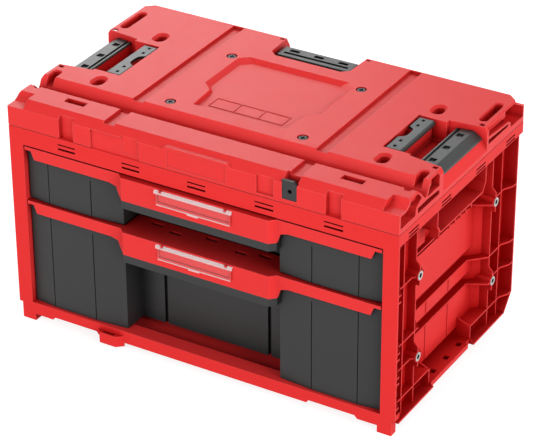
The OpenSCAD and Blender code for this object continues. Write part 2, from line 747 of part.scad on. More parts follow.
module side_pedestals() {
    block([well_x[0] - cut, inner_x[1] - 4], [mid_y - 45, mid_y + 45.5],
          [notch_z - cut, inner_top - inner_t]);
    along_y(mid_y - 65, mid_y + 65)
        polygon([[outer_x[0] + 1, notch_z - 1], [outer_x[0] + 1, outer_top - plate_t],
                 [outer_x[1] - 1, outer_top - plate_t], [outer_x[2], outer_top - plate_t - 8],
                 [side_x, seam_z + 7], [side_x, seam_z + 3]]);
}

module rear_pedestal() {
    along_x(-54, 54) polygon([[rear_y[0] + 1, notch_z + 1], [rear_y[0] + 1, rear_top - plate_t],
        [rear_y[1] - 1, rear_top - plate_t], [rear_y[2], rear_top - plate_t - 9], [rear_y[2], notch_z + 1]]);
}

// Open cells in the ends of the cover, drawn on the end face
cell_z = seam_z + 8.5;
end_cell_outlines = [
    [[wall, cell_z], [41, cell_z], [43, seam_z + 19], [56, seam_z + 26], [56, deck_z], [wall, deck_z]],
    [[72, seam_z + 20], [104, seam_z + 20], [104, deck_z], [72, deck_z]],
    [[47, cell_z], [104, cell_z], [104, seam_z + 15], [70.5, seam_z + 17], [47, seam_z + 16]],
    [[back_y - 94, seam_z + 25], [back_y - 36, seam_z + 20.5], [back_y - 31, seam_z + 17],
     [back_y - 28, seam_z + 9], [box_d, cell_z], [box_d, deck_z], [back_y - 94, deck_z]],
    [[back_y - 94, seam_z + 14], [back_y - 36, seam_z + 14], [back_y - 36, seam_z + 17.5],
     [back_y - 94, seam_z + 21]]
];

module end_cells() {
    along_x(end_x, side_x + cut) intersection() {
        polygon(inset(corner_profile, wall));
        union() for (outline = end_cell_outlines) polygon(outline);
    }
    block([end_x, side_x - wall], [wall, box_d - 4], [seam_z - cut, seam_z + 6]);
}

module groove(x0, x1, y0, y1, z, depth) {
    along_y(y0, y1) polygon([[x0, z + cut], [x0 + 0.7, z - depth], [x1 - 0.7, z - depth], [x1, z + cut]]);
}

// Slot with round ends and a bevelled rim, cut from z down
module bevelled_slot(length, width, bevel, z, depth) {
    reach = cut / 2;
    upright(z - depth, z + cut) obround(length - 2 * bevel, width - 2 * bevel);
    for (end = [-1, 1])
        translate([0, end * (length - width) / 2, z - bevel])
            cylinder(r1 = width / 2 - bevel, r2 = width / 2 + reach, h = bevel + reach);
    along_y((width - length) / 2, (length - width) / 2)
        polygon([[bevel - width / 2, z - bevel], [width / 2 - bevel, z - bevel],
                 [width / 2 + reach, z + reach], [-width / 2 - reach, z + reach]]);
}

lock_x = [124.6, 145.3];
lock_z = [seam_z + 7, seam_z + 33];
badge_x = 49;
oval_x = side_x - 76.5;
oval_y = [mid_y - 75.5, mid_y + 74.8];
long_x = side_x - 15;
long_y = [71, back_y - 57];
ledge_slot_x = [side_x - 99, side_x - 68];
pocket_x = [side_x - 102, side_x - 80];
small_pocket_x = [88, 112];
left_panel_x = [-158.6, -85];
channel_x = [127.5, 145];

module top_cover() {
    color(red) difference() {
        intersection() {
            cover_envelope();
            union() {
                // Shell
                difference() {
                    cover_envelope();
                    along_x(-end_x + wall, end_x - wall) polygon(concat(
                        [[wall, seam_z - cut], [box_d - wall - 1, seam_z - cut]],
                        [for (i = [2 : len(cover_profile) - 1]) inset(cover_profile, wall)[i]]));
                    both_sides() end_cells();
                }
                // Wells, floors and pads inside the shell
                both_sides() {
                    side_well(wall);
                    block([well_x[1] - 20, well_x[1] - 2], [mid_y - 27, mid_y + 47], [notch_z - 6, notch_z]);
                    for (y = oval_y)
                        upright(deck_z - 16, deck_z) translate([oval_x, y]) obround(28.5 + 5, 20 + 5);
                    for (y = long_y)
                        upright(deck_z - 16, deck_z) translate([long_x, y]) obround(58 + 3, 14 + 3);
                    block([ledge_slot_x[0] - 3, ledge_slot_x[1] + 3], [28, 44], [ledge_z - 8, ledge_z]);
                    block([pocket_x[0] - 3, pocket_x[1] + 3], [0, 8.5], [seam_z, seam_z + 35]);
                    block([small_pocket_x[0] - 3, small_pocket_x[1] + 3], [0, 5], [seam_z, shoulder_z]);
                    block([channel_x[0] - 2.5, channel_x[1] + 2.5], [wall / 2, back_y - 1],
                          [deck_z - 8, deck_z]);
                }
                block([left_panel_x[0] - 3, left_panel_x[1] + 3], [0, 4.5], [seam_z, shoulder_z]);
                rear_well(wall);
                upright(deck_z - badge_d - wall, deck_z) polygon(inset(badge_top, -wall));
                for (x = [-screw_x, screw_x], y = screw_y)
                    translate([x, y, deck_z - 7]) cylinder(d = 14, h = 7);
                block([lock_x[0] - 4, lock_x[1] + 4], [0, 19.5], [seam_z + 3, deck_z]);
            }
        }
        both_sides() {
            difference() {
                side_well(0);
                side_pedestals();
            }
            // Bite in the inner pedestal, and the shallow seat between the plates
            bite(notch_z);
            block([well_x[1] - 18, well_x[1] - 5], [mid_y - 25, mid_y + 45], [notch_z - 3, notch_z + cut]);
            for (y = oval_y)
                translate([oval_x, y, 0]) bevelled_slot(28.5, 20, 3.2, deck_z, 14);
            // Ledge slot and front pockets
            block(ledge_slot_x, [30.5, 41.5], [ledge_z - 6, deck_z + cut]);
            block(pocket_x, [-cut, 6], [seam_z - cut, seam_z + 32.5]);
            block(small_pocket_x, [-cut, 2.2], [seam_z + 5, deck_z]);
            // Long slots near the ends
            for (y = long_y)
                translate([long_x, y, 0]) bevelled_slot(58, 14, 1.5, deck_z, 13.5);
            // Small holes
            for (y = [mid_y - 65, mid_y + 64.5])
                block([side_x - 13, side_x - 6], [y - 3, y + 3], [deck_z - 8, deck_z + cut]);
            block([63, 69], [back_y - 8, back_y - 4], [deck_z - 6, deck_z + cut]);
            // Shallow channels over the ledge and the deck
            groove(channel_x[0], channel_x[1], 79, back_y - 3, deck_z, 4);
            groove(channel_x[0], channel_x[1], 10, 52, ledge_z, 4.4);
        }
        difference() {
            rear_well(0);
            rear_pedestal();
        }
        // Front relief
        block(left_panel_x, [-cut, 1.8], [seam_z - cut, shoulder_z - 1]);
        block([6 - badge_x, badge_x - 6], [-cut, 0.6], [seam_z + 5, seam_z + 29]);
        // Central recess
        for (part = [[0, 1, 8, 9], [1, 2, 3, 4, 5, 6, 7, 8]])
            hull() {
                upright(deck_z, deck_z + cut) polygon([for (i = part) badge_top[i]]);
                upright(deck_z - badge_d, deck_z - badge_d + 0.1) polygon([for (i = part) badge_floor[i]]);
            }
        // Screw seats
        for (x = [-screw_x, screw_x], y = screw_y) {
            translate([x, y, deck_z - 8]) cylinder(d = 4.2, h = 10);
            translate([x, y, deck_z - 2.6]) cylinder(d = 9.6, h = 5);
        }
        // Slide way of the lock plate
        block([lock_x[0] - slide_gap, lock_x[1] + slide_gap], [-cut, 17],
              [lock_z[0] - slide_gap, deck_z + cut]);
        block([lock_x[0] - 1.5 - slide_gap, lock_x[1] + 1.5 + slide_gap], [1.7, 3.9],
              [lock_z[0] - slide_gap, deck_z + cut]);
        // Shadow gap over the seam
        difference() {
            block([-side_x - cut, side_x + cut], [-cut, box_d + cut], [seam_z - cut, seam_z + 1.2]);
            block([1.5 - side_x, side_x - 1.5], [1.5, box_d - 2], [seam_z - 2 * cut, seam_z + 2]);
        }
    }
    // Three bare frames in the central recess
    color(red) for (i = [-1 : 1])
        translate([36.6 * i, 131.2, 0]) upright(deck_z - badge_d - 0.5, deck_z - badge_d + 0.7) difference() {
            square([37.4, 24.5], center = true);
            square([35, 22.1], center = true);
        }
}

badge_top = [[69, 105], [72, 150], [88, 165], [88, 248], [75, 259], [-75, 259], [-88, 248], [-88, 165],
             [-72, 150], [-69, 105]];
badge_floor = [[67, 107], [70, 154], [80.5, 168], [80.5, 240], [66, 251], [-66, 251], [-80.5, 240],
               [-80.5, 168], [-70, 154], [-67, 107]];

module cover_screws() {
    color(dark_grey) for (x = [-screw_x, screw_x], y = screw_y)
        translate([x, y, 0]) difference() {
            union() {
                translate([0, 0, deck_z - 2.6]) cylinder(d = 9, h = 2.2);
                translate([0, 0, deck_z - 24]) cylinder(d = 3.4, h = 22);
            }
            translate([0, 0, deck_z - 1.8]) cylinder(d = 4, h = 3, $fn = 6);
        }
}

// Locking plate with its padlock eye, guided by a tongue on each side
module lock_plate() {
    color(dark_grey) difference() {
        union() {
            along_y(0.4, 4.6) polygon([[lock_x[0], lock_z[0]], [lock_x[1], lock_z[0]],
                [lock_x[1], lock_z[1] - 5], [lock_x[1] - 5, lock_z[1]], [lock_x[0], lock_z[1]]]);
            block([lock_x[0] - 1.5, lock_x[1] + 1.5], [2, 3.6], [lock_z[0], lock_z[0] + 16]);
        }
        translate([lock_x[1] - 9.9, 0, lock_z[0] + 11.5]) rotate([-90, 0, 0]) cylinder(d = 6, h = 6);
    }
}

// Catch plates: caps on the red blocks in the wells
module bite(z) {
    upright(z, deck_z + cut) intersection() {
        translate([inner_x[0], mid_y + 2.5]) obround(31, 21);
        translate([well_x[0], 0]) square([well_x[1] - well_x[0], box_d]);
    }
}

module inner_catch() {
    bevel = 2;
    color(mid_grey) difference() {
        along_y(mid_y - 45.5, mid_y + 46) polygon([[inner_x[0], inner_top - inner_t],
            [inner_x[0], inner_top - bevel], [inner_x[0] + bevel, inner_top], [inner_x[1] - bevel, inner_top],
            [inner_x[1], inner_top - bevel], [inner_x[1], inner_top - 1.6 * inner_t],
            [inner_x[1] - 3, inner_top - 1.6 * inner_t], [inner_x[1] - 3, inner_top - inner_t]]);
        for (y = [-37.5, -21.5, 25, 40])
            block([inner_x[0] + 8, inner_x[0] + 12], [mid_y + y - 2.5, mid_y + y + 2.5],
                  [inner_top - 3, inner_top + cut]);
        bite(inner_top - 2 * inner_t);
    }
}

module outer_catch() {
    color(mid_grey) difference() {
        intersection() {
            along_y(mid_y - 62, mid_y + 62) polygon([[outer_x[0], outer_top - plate_t],
                [outer_x[0], outer_top - 1], [outer_x[0] + 1, outer_top], [outer_x[1], outer_top],
                [outer_x[2], outer_top - 8], [outer_x[2], outer_top - plate_t - 8],
                [outer_x[1] - 1, outer_top - plate_t]]);
            upright(notch_z, deck_z) polygon([[outer_x[0], mid_y - 45], [outer_x[2], mid_y - 47],
                [outer_x[2], mid_y + 59], [outer_x[0], mid_y + 55.2]]);
        }
        for (y = [-36.5, 1, 38.5])
            block([outer_x[0] + 9, outer_x[0] + 18], [mid_y + y - 4.5, mid_y + y + 4.5],
                  [outer_top - 2.4, outer_top + cut]);
        block([outer_x[0] + 3, outer_x[0] + 7], [mid_y - 60, mid_y + 60], [outer_top - 2, outer_top + cut]);
    }
}

module rear_catch() {
    color(mid_grey) difference() {
        along_x(-55, 55) polygon([[rear_y[0], rear_top - plate_t], [rear_y[1] - 1, rear_top - plate_t],
            [rear_y[2], rear_top - plate_t - 9], [rear_y[2], rear_top - 9], [rear_y[1], rear_top],
            [rear_y[0] + 1, rear_top], [rear_y[0], rear_top - 1]]);
        for (x = [-37.2, 0, 37.2])
            block([x - 7, x + 7], [rear_y[0] + 18, rear_y[0] + 24], [rear_top - 2.4, rear_top + cut]);
    }
}

module left() {
    mirror([1, 0, 0]) children();
}

module place() {
    translate([0, front_y, 0]) children();
}

place() housing();
place() top_cover();
place() cover_screws();
place() lock_plate();
place() left() inner_catch();  // left_inner_catch
place() inner_catch();  // right_inner_catch
place() left() outer_catch();  // left_outer_catch
place() outer_catch();  // right_outer_catch
place() rear_catch();
place() left() rail_rivets();  // left_rail_rivets
place() rail_rivets();  // right_rail_rivets
place() left() outer_rail(upper_rail_z);  // upper_left_outer_rail
place() outer_rail(upper_rail_z);  // upper_right_outer_rail
place() left() outer_rail(lower_rail_z);  // lower_left_outer_rail
place() outer_rail(lower_rail_z);  // lower_right_outer_rail
place() left() middle_rail(upper_rail_z);  // upper_left_middle_rail
place() middle_rail(upper_rail_z);  // upper_right_middle_rail
place() left() middle_rail(lower_rail_z);  // lower_left_middle_rail
place() middle_rail(lower_rail_z);  // lower_right_middle_rail
place() left() inner_rail(upper_rail_z);  // upper_left_inner_rail
place() inner_rail(upper_rail_z);  // upper_right_inner_rail
place() left() inner_rail(lower_rail_z);  // lower_left_inner_rail
place() inner_rail(lower_rail_z);  // lower_right_inner_rail
place() tray(upper_z0, upper_z1, upper_rail_z);  // upper_tray
place() tray(lower_z0, lower_z1, lower_rail_z);  // lower_tray
place() bezel(upper_z1);  // upper_bezel
place() bezel(lower_z1);  // lower_bezel
place() front_screws(upper_z1);  // upper_front_screws
place() front_screws(lower_z1);  // lower_front_screws
place() rail_screws(upper_rail_z);  // upper_rail_screws
place() rail_screws(lower_rail_z);  // lower_rail_screws
place() label_cover(upper_z1);  // upper_label_cover
place() label_cover(lower_z1);  // lower_label_cover
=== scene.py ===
"""Dresses the portable tool box with drawers: finishes, fine cuts, floor, light and camera."""
import json
import logging
import math
from dataclasses import dataclass
from enum import Enum
from typing import Iterable, Sequence, Union

import bpy
from mathutils import Matrix, Vector


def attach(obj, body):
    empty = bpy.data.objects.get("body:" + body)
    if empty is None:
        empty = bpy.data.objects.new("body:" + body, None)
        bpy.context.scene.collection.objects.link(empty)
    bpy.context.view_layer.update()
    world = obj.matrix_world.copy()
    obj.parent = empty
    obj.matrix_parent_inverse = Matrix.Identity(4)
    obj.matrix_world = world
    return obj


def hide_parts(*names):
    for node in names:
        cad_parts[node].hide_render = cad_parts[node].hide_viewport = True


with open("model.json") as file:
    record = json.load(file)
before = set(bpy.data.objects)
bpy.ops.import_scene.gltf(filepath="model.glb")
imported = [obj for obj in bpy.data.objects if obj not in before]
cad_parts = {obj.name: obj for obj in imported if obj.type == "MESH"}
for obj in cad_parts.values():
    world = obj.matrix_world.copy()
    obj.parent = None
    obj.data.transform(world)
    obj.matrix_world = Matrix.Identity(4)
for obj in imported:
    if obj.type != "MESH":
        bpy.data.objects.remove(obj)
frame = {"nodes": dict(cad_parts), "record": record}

LOG = logging.getLogger("tool_box")
MM = 0.001
FRAME_FACE = -167.0  # y of the front frame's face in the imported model, in millimetres
BEHIND_FACE = -0.155  # y in metres behind which a drawer's front is only shelf
PAST_FACE = 1.0  # millimetres that a cutter stands past the face it cuts
ROUND_SIDES = 40  # sides of a round seat or head
MERGE_M = 0.000002  # metres within which the CAD's loose corners are one

Colour = tuple[float, float, float]
Value = Union[float, tuple[float, ...], bpy.types.NodeSocket]


class Slot(Enum):
    """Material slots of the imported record."""

    RED = "red_plastic"
    DARK = "dark_plastic"
    GREY = "grey_plastic"
    ZINC = "zinc_steel"
    SCREW = "dark_screw"
    CLEAR = "clear_plastic"


# ------------------------------------------------------------------ finishes


@dataclass
class NodeSheet:
    """A material's node tree with short calls to add and join nodes."""

    material: bpy.types.Material

    @classmethod
    def named(cls, name: str) -> "NodeSheet":
        """Makes an empty node material.

        Args:
            name: the material's name.

        Returns:
            A sheet whose tree holds only a Principled shader and its output.
        """
        material = bpy.data.materials.new(name)
        material.use_nodes = True
        return cls(material)

    @property
    def tree(self) -> bpy.types.NodeTree:
        """The material's node tree."""
        return self.material.node_tree

    @property
    def shader(self) -> bpy.types.Node:
        """The Principled shader."""
        return self.tree.nodes["Principled BSDF"]

    def add(self, kind: str, **inputs: object) -> bpy.types.Node:
        """Adds a node.

        Args:
            kind: the node's type name.
            **inputs: values for sockets, with spaces written as underscores.

        Returns:
            The new node.
        """
        node = self.tree.nodes.new(kind)
        for name, value in inputs.items():
            node.inputs[name.replace("_", " ")].default_value = value
        return node

    def join(self, source: bpy.types.NodeSocket, target: bpy.types.NodeSocket) -> None:
        """Links one socket to another.

        Args:
            source: the output socket.
            target: the input socket.
        """
        self.tree.links.new(source, target)

    def feed(self, value: Value, target: bpy.types.NodeSocket) -> None:
        """Links a socket to an input, or sets a plain value on it.

        Args:
            value: an output socket, a number or a colour.
            target: the input socket.
        """
        if isinstance(value, bpy.types.NodeSocket):
            self.join(value, target)
        else:
            target.default_value = value

    def coordinate(self, axis: str, space: str = "Object") -> bpy.types.NodeSocket:
        """Reads one coordinate of the shaded point.

        Args:
            axis: X, Y or Z.
            space: the coordinates' output, Object in metres or Generated from 0 to 1.

        Returns:
            The coordinate's socket.
        """
        place = self.add("ShaderNodeTexCoord")
        split = self.add("ShaderNodeSeparateXYZ")
        self.join(place.outputs[space], split.inputs["Vector"])
        return split.outputs[axis]

    def noise(self, scale: float, detail: float = 2.0) -> bpy.types.NodeSocket:
        """Adds noise in the object's own metres.

        Args:
            scale: noise cells a metre.
            detail: octaves.

        Returns:
            The noise factor's socket.
        """
        place = self.add("ShaderNodeTexCoord")
        noise = self.add("ShaderNodeTexNoise", Scale=scale, Detail=detail)
        self.join(place.outputs["Object"], noise.inputs["Vector"])
        return noise.outputs["Fac"]

    def spread(self, factor: bpy.types.NodeSocket, low: float, high: float) -> bpy.types.NodeSocket:
        """Maps a 0 to 1 factor to a range.

        Args:
            factor: the factor's socket.
            low: value where the factor is 0.
            high: value where it is 1.

        Returns:
            The mapped value's socket.
        """
        node = self.add("ShaderNodeMapRange", To_Min=low, To_Max=high)
        self.join(factor, node.inputs["Value"])
        return node.outputs["Result"]

    def reckon(self, value: Value, operation: str, operand: Value = 0.0) -> bpy.types.NodeSocket:
        """Works a sum.

        Args:
            value: the first number.
            operation: the Math node's operation, such as POWER or LESS_THAN.
            operand: the second number.

        Returns:
            The result's socket.
        """
        node = self.add("ShaderNodeMath")
        node.operation = operation
        self.feed(value, node.inputs[0])
        self.feed(operand, node.inputs[1])
        return node.outputs[0]

    def mixed(self, factor: Value, low: Value, high: Value, kind: str = "RGBA") -> bpy.types.NodeSocket:
        """Mixes two colours or two numbers.

        Args:
            factor: 0 for the first, 1 for the second.
            low: the first.
            high: the second.
            kind: RGBA for colours or FLOAT for numbers.

        Returns:
            The mix's socket.
        """
        first, result = {"RGBA": (6, 2), "FLOAT": (2, 0)}[kind]
        node = self.add("ShaderNodeMix")
        node.data_type = kind
        self.feed(factor, node.inputs[0])
        self.feed(low, node.inputs[first])
        self.feed(high, node.inputs[first + 1])
        return node.outputs[result]

    def hollows(self, reach: float, alone: bool = False) -> bpy.types.NodeSocket:
        """Finds how much of its surroundings a place sees.

        Args:
            reach: metres that are looked at.
            alone: whether only the piece's own walls count.

        Returns:
            A socket that is 1 in the open and falls in hollows.
        """
        node = self.add("ShaderNodeAmbientOcclusion", Distance=reach)
        node.samples = 8
        node.only_local = alone
        return node.outputs["AO"]

    def rounded(self, radius: float, samples: int) -> bpy.types.NodeSocket:
        """Rounds the piece's edges in the shading.

        Args:
            radius: the edges' radius in metres.
            samples: rays for each point.

        Returns:
            The rounded normal's socket.
        """
        node = self.add("ShaderNodeBevel", Radius=radius)
        node.samples = samples
        return node.outputs["Normal"]

    def relief(self, height: bpy.types.NodeSocket, strength: float, depth: float) -> bpy.types.Node:
        """Gives the shader a fine relief.

        Args:
            height: the relief's height, from 0 to 1.
            strength: how strongly it shows.
            depth: its depth in metres.

        Returns:
            The relief's node, which can take a rounded normal.
        """
        bump = self.add("ShaderNodeBump", Strength=strength, Distance=depth)
        self.join(height, bump.inputs["Height"])
        self.join(bump.outputs["Normal"], self.shader.inputs["Normal"])
        return bump


def tinted(colour: Colour, factor: float = 1.0) -> tuple[float, float, float, float]:
    """Scales a colour.

    Args:
        colour: linear red, green and blue.
        factor: what each is multiplied by.

    Returns:
        The colour with an alpha of 1.
    """
    return (colour[0] * factor, colour[1] * factor, colour[2] * factor, 1.0)


@dataclass(frozen=True)
class MouldedPlastic:
    """Injection-moulded plastic: spark-eroded grain, softened edges, slight flow marks, with painted
    shade in its hollows and a painted highlight along its edges.
    """

    name: str
    colour: Colour
    shade_colour: Colour
    edge_highlight: Colour
    specular: float
    roughness: float = 0.42
    wear: float = 0.05
    wear_per_m: float = 42.0
    drift: float = 0.04
    flow_per_m: float = 9.0
    grain_per_m: float = 2600.0
    grain_height: float = 0.00006
    edge: float = 0.0008
    flat_from: float = 0.995
    full_edge: float = 0.80
    reach: float = 0.03
    falloff: float = 1.0
    alone: bool = False
    overhang_shade: float = 0.0
    cover_reach: float = 0.08

    def openness(self, sheet: NodeSheet) -> bpy.types.NodeSocket:
        """Finds how open a place is to the room.

        Args:
            sheet: the material's node tree.

        Returns:
            A socket that is 1 on open faces and falls to 0 in deep hollows.
        """
        own = sheet.reckon(sheet.hollows(self.reach, self.alone), "POWER", self.falloff)
        return self.under_cover(sheet, own) if self.overhang_shade else own

    def under_cover(self, sheet: NodeSheet, own: bpy.types.NodeSocket) -> bpy.types.NodeSocket:
        """Paints shade on level shelves that another piece hangs over, and on the walls of the slots in
        them.

        Args:
            sheet: the material's node tree.
            own: openness among the moulding's own walls.

        Returns:
            The openness with what hangs over the shelf counted in.
        """
        # Painted shade where another piece hangs over the shelf
        shade = sheet.reckon(sheet.hollows(self.cover_reach), "POWER", self.overhang_shade)
        facing = sheet.add("ShaderNodeNewGeometry")
        split = sheet.add("ShaderNodeSeparateXYZ")
        sheet.join(facing.outputs["Normal"], split.inputs["Vector"])
        level = sheet.reckon(split.outputs["Z"], "GREATER_THAN", 0.5)
        within = sheet.reckon(sheet.coordinate("Y"), "GREATER_THAN", BEHIND_FACE)
        shelf = sheet.reckon(level, "MAXIMUM", within)
        return sheet.reckon(own, "MULTIPLY", sheet.mixed(shelf, 1.0, shade, "FLOAT"))

    def sharpness(self, sheet: NodeSheet, rounded: bpy.types.NodeSocket) -> bpy.types.NodeSocket:
        """Finds the edges, where a lighter colour is painted as a highlight.

        Args:
            sheet: the material's node tree.
            rounded: the rounded normal's socket.

        Returns:
            A socket that is 1 along edges and 0 on flat faces.
        """
        flat = sheet.add("ShaderNodeNewGeometry")
        agree = sheet.add("ShaderNodeVectorMath")
        agree.operation = "DOT_PRODUCT"
        sheet.join(rounded, agree.inputs[0])
        sheet.join(flat.outputs["Normal"], agree.inputs[1])
        edge = sheet.add("ShaderNodeMapRange", From_Min=self.flat_from, From_Max=self.full_edge)
        sheet.join(agree.outputs["Value"], edge.inputs["Value"])
        return edge.outputs["Result"]

    def build(self) -> bpy.types.Material:
        """Makes the material.

        Returns:
            The finished node material.
        """
        sheet = NodeSheet.named(self.name)
        inputs = sheet.shader.inputs
        rounded = sheet.rounded(self.edge, 8)
        # Colour drifts a little over the moulding, and edges are painted lighter as a highlight
        drifting = sheet.mixed(sheet.noise(self.flow_per_m, 3.0), tinted(self.colour, 1.0 - self.drift),
                               tinted(self.colour, 1.0 + self.drift))
        highlighted = sheet.mixed(self.sharpness(sheet, rounded), drifting, tinted(self.edge_highlight))
        # Deep cells and slots are painted darker and duller as shade
        openness = self.openness(sheet)
        sheet.join(sheet.mixed(openness, tinted(self.shade_colour), highlighted), inputs["Base Color"])
        # An export that can't carry the linked level falls back to the plain one
        inputs["Specular IOR Level"].default_value = self.specular
        # The sheen fades in hollows as painted shade
        sheet.join(sheet.spread(openness, 0.0, self.specular), inputs["Specular IOR Level"])
        # Roughness follows the handling of the surface
        handled = sheet.noise(self.wear_per_m, 4.0)
        sheet.join(sheet.spread(handled, self.roughness - self.wear, self.roughness + self.wear),
                   inputs["Roughness"])
        # Rounded edges under a fine grain
        grain = sheet.relief(sheet.noise(self.grain_per_m, 3.0), 0.5, self.grain_height)
        sheet.join(rounded, grain.inputs["Normal"])
        return sheet.material


@dataclass(frozen=True)
class CreasedPlastic(MouldedPlastic):
    """Moulded plastic of the trays, with a painted shade line at the fine crease where the pods' faces
    bend back.
    """

    crease: float = 0.2315
    half_width: float = 0.0006
    front: float = -0.1500

    def openness(self, sheet: NodeSheet) -> bpy.types.NodeSocket:
        """Finds how open a place is, and paints the crease as a line of shade.

        Args:
            sheet: the material's node tree.

        Returns:
            A socket that is 1 on open faces and falls in hollows and in the crease.
        """
        across = sheet.reckon(sheet.coordinate("X"), "ABSOLUTE")
        off = sheet.reckon(sheet.reckon(across, "SUBTRACT", self.crease), "ABSOLUTE")
        beside = sheet.reckon(off, "GREATER_THAN", self.half_width)
        behind = sheet.reckon(sheet.coordinate("Y"), "GREATER_THAN", self.front)
        clear = sheet.reckon(beside, "MAXIMUM", behind)
        return sheet.reckon(super().openness(sheet), "MULTIPLY", clear)


@dataclass(frozen=True)
class PlatedSteel:
    """Steel sheet with a zinc or oxide finish, faint rolling lines and painted shade in its recesses.
    """

    name: str
    colour: Colour
    roughness: float
    gloss: tuple[float, float] = (-0.08, 0.1)
    spangle: tuple[float, float] = (0.82, 1.1)
    spangle_per_m: float = 160.0
    line_per_m: float = 1600.0
    line_stretch: float = 0.04
    line_depth: float = 0.00003
    hollow_shade: float = 0.08
    hollow_shade_falloff: float = 1.5
    reach: float = 0.03
    edge: float = 0.0003

    def lines(self, sheet: NodeSheet) -> bpy.types.NodeSocket:
        """Draws the rolling lines, long in the direction of the rails.

        Args:
            sheet: the material's node tree.

        Returns:
            The lines' socket, from 0 to 1.
        """
        place = sheet.add("ShaderNodeTexCoord")
        rolled = sheet.add("ShaderNodeMapping")
        rolled.inputs["Scale"].default_value = (1.0, self.line_stretch, 1.0)
        lines = sheet.add("ShaderNodeTexNoise", Scale=self.line_per_m, Detail=2.0)
        sheet.join(place.outputs["Object"], rolled.inputs["Vector"])
        sheet.join(rolled.outputs["Vector"], lines.inputs["Vector"])
        return lines.outputs["Fac"]

    def build(self) -> bpy.types.Material:
        """Makes the material.

        Returns:
            The finished node material.
        """
        sheet = NodeSheet.named(self.name)
        inputs = sheet.shader.inputs
        inputs["Metallic"].default_value = 1.0
        lines = self.lines(sheet)
        low, high = (tinted(self.colour, tint) for tint in self.spangle)
        plated = sheet.mixed(sheet.noise(self.spangle_per_m, 2.0), low, high)
        # Recesses are painted darker as shade
        openness = sheet.reckon(sheet.hollows(self.reach), "POWER", self.hollow_shade_falloff)
        sheet.join(sheet.mixed(openness, tinted(self.colour, self.hollow_shade), plated), inputs["Base Color"])
        smooth, dull = (self.roughness + change for change in self.gloss)
        sheet.join(sheet.spread(lines, smooth, dull), inputs["Roughness"])
        rolling = sheet.relief(lines, 0.25, self.line_depth)
        sheet.join(sheet.rounded(self.edge, 4), rolling.inputs["Normal"])
        return sheet.material


@dataclass(frozen=True)
class ClearPlastic:
    """Clear moulded polycarbonate, milkier in its thick top bar and along its lower edge."""

    name: str
    colour: Colour
    alpha: float
    milky_alpha: float
    roughness: float
    haze: float = 0.14
    haze_per_m: float = 300.0
    ripple_per_m: float = 700.0
    ripple_depth: float = 0.00004
    bar_from: float = 0.785
    edge_to: float = 0.105

    def build(self) -> bpy.types.Material:
        """Makes the material.

        Returns:
            The finished node material.
        """
        sheet = NodeSheet.named(self.name)
        inputs = sheet.shader.inputs
        inputs["Base Color"].default_value = tinted(self.colour)
        inputs["IOR"].default_value = 1.58
        height = sheet.coordinate("Z", "Generated")
        bar = sheet.reckon(height, "GREATER_THAN", self.bar_from)
        foot = sheet.reckon(height, "LESS_THAN", self.edge_to)
        thick = sheet.reckon(bar, "MAXIMUM", foot)
        sheet.join(sheet.spread(thick, self.alpha, self.milky_alpha), inputs["Alpha"])
        hazy = sheet.noise(self.haze_per_m, 4.0)
        sheet.join(sheet.spread(hazy, self.roughness, self.roughness + self.haze), inputs["Roughness"])
        sheet.relief(sheet.noise(self.ripple_per_m, 2.0), 0.15, self.ripple_depth)
        return sheet.material


# The lighter edge colours are painted highlights
RED = (0.80, 0.034, 0.034)
HIGHLIGHT_RED = (0.88, 0.095, 0.095)
HIGHLIGHT_GREY = (0.08, 0.085, 0.085)
FINISHES = {
    Slot.RED: MouldedPlastic("red drawer front", RED, (0.20, 0.001, 0.001), HIGHLIGHT_RED, 0.15,
                             falloff=1.5, alone=True, overhang_shade=1.4),
    Slot.DARK: CreasedPlastic("charcoal moulding", (0.025, 0.025, 0.025), (0.006, 0.006, 0.006),
                              (0.05, 0.05, 0.05), 0.3, roughness=0.48, grain_per_m=2200.0,
                              grain_height=0.00010),
    Slot.GREY: MouldedPlastic("grey catch plate", (0.040, 0.043, 0.043), (0.008, 0.009, 0.009),
                              HIGHLIGHT_GREY, 0.4),
    Slot.ZINC: PlatedSteel("zinc sheet", (0.50, 0.50, 0.49), 0.32),
    Slot.SCREW: PlatedSteel("blackened screw", (0.035, 0.035, 0.037), 0.42, reach=0.004),
    Slot.CLEAR: ClearPlastic("clear label cover", (0.95, 0.90, 0.90), 0.035, 0.45, 0.10),
}
OWN_FINISHES = {
    "housing": MouldedPlastic("red cabinet", RED, (0.34, 0.001, 0.001), HIGHLIGHT_RED, 0.05,
                              reach=0.034, falloff=2.4, alone=True),
    "top_cover": MouldedPlastic("red stacking cover", RED, (0.34, 0.002, 0.002), (0.92, 0.15, 0.15),
                                0.15, full_edge=0.88, reach=0.012, falloff=1.3),
    "rear_catch": MouldedPlastic("grey rear plate", (0.027, 0.029, 0.029), (0.005, 0.005, 0.005),
                                 HIGHLIGHT_GREY, 0.3, falloff=1.3),
}


# ------------------------------------------------------------------ pieces


@dataclass
class CadDress:
    """Gives every CAD node the finish of its slot in the record, or its own."""

    materials: dict[Slot, bpy.types.Material]
    own: dict[str, bpy.types.Material]

    def dress(self) -> int:
        """Assigns the finishes.

        Returns:
            How many nodes were dressed.
        """
        slots = {part["node"]: Slot(part["material_slot"]) for part in frame["record"]["subparts"]}
        for name, node in frame["nodes"].items():
            node.data.materials.clear()
            node.data.materials.append(self.own.get(name) or self.materials[slots[name]])
        return len(slots)


def at(x: float, y: float, z: float) -> Vector:
    """Places a point of the box.

    Args:
        x: millimetres to the right of the middle.
        y: millimetres behind the face of the front frame.
        z: millimetres above the ground.

    Returns:
        The point in metres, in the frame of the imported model.
    """
    return Vector((x, y + FRAME_FACE, z)) * MM


